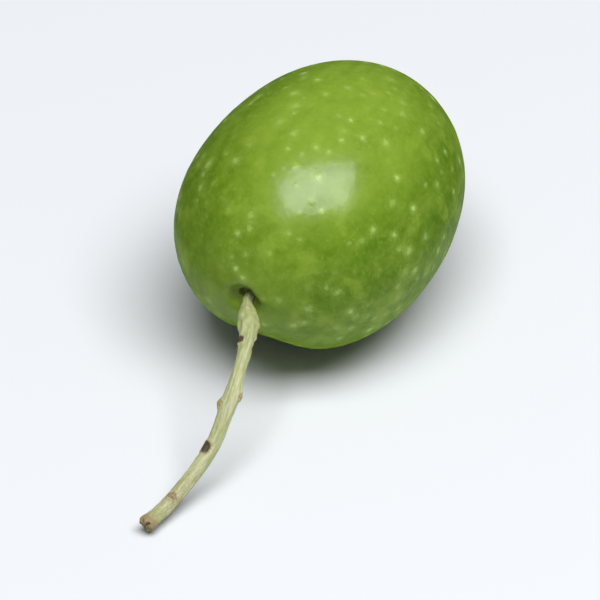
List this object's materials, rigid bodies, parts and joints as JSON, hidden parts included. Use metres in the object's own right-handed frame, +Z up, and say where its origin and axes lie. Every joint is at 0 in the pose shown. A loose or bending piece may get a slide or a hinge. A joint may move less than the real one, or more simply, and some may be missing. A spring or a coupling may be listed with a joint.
{
  "type": "green olive",
  "caption": "Whole green olive as picked: a plump glossy oval fruit lying on its side, with its slender cut stem curving down to the surface.",
  "frame": {"origin": "on the small flat spot that the fruit rests on, under the fruit's middle", "axes": "+Y along the fruit's long axis, from the stem end to the tip; +Z up"},
  "size_m": [0.0198, 0.0429, 0.0194],
  "materials": {
    "fruit_skin": "glossy waxy olive skin, fresh yellow-green with small paler dots",
    "stem_bark": "dull pale yellow-green young bark with small brown scars"
  },
  "bodies": {
    "root": {"fruit": "fruit_skin", "stem": "stem_bark"}
  },
  "joints": []
}
